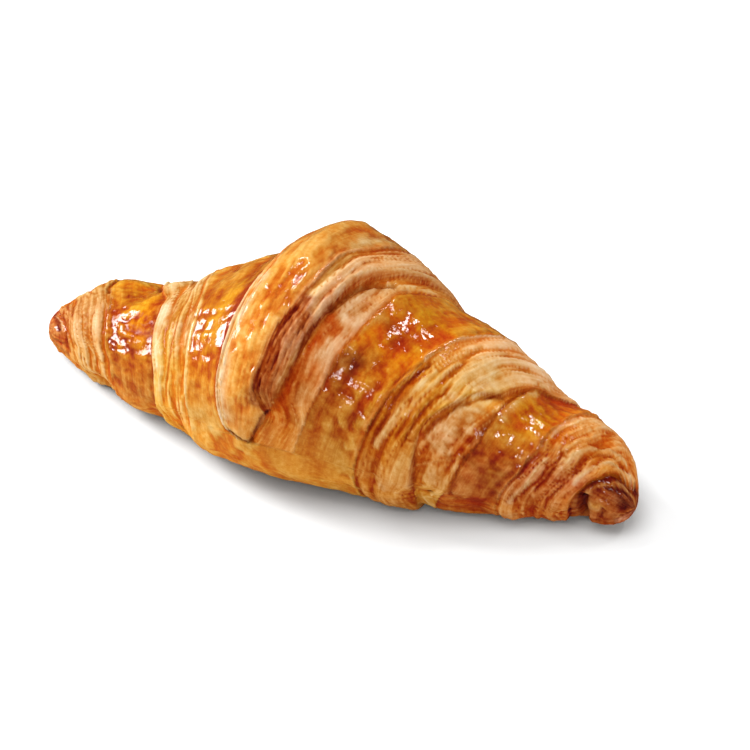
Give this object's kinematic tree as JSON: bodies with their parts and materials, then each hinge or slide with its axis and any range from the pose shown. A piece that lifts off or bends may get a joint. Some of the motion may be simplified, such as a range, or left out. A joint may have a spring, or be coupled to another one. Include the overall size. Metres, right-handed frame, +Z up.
{
  "type": "croissant",
  "caption": "Straight baked croissant: a spindle of rolled laminated dough with stepped glazed layers, rolled tips and a flat underside to rest on.",
  "frame": {"origin": "on the flat baked underside, below the middle of the part's bounding box", "axes": "+X runs from tip to tip, +Y runs from the side with the free flap point to the far side, +Z is up from the underside"},
  "size_m": [0.165, 0.071, 0.0553],
  "materials": {
    "crust": "egg-washed golden crust, glossy on the skin of each layer and matt on the pale laminated edges"
  },
  "bodies": {
    "root": {"croissant": "crust"}
  },
  "joints": []
}
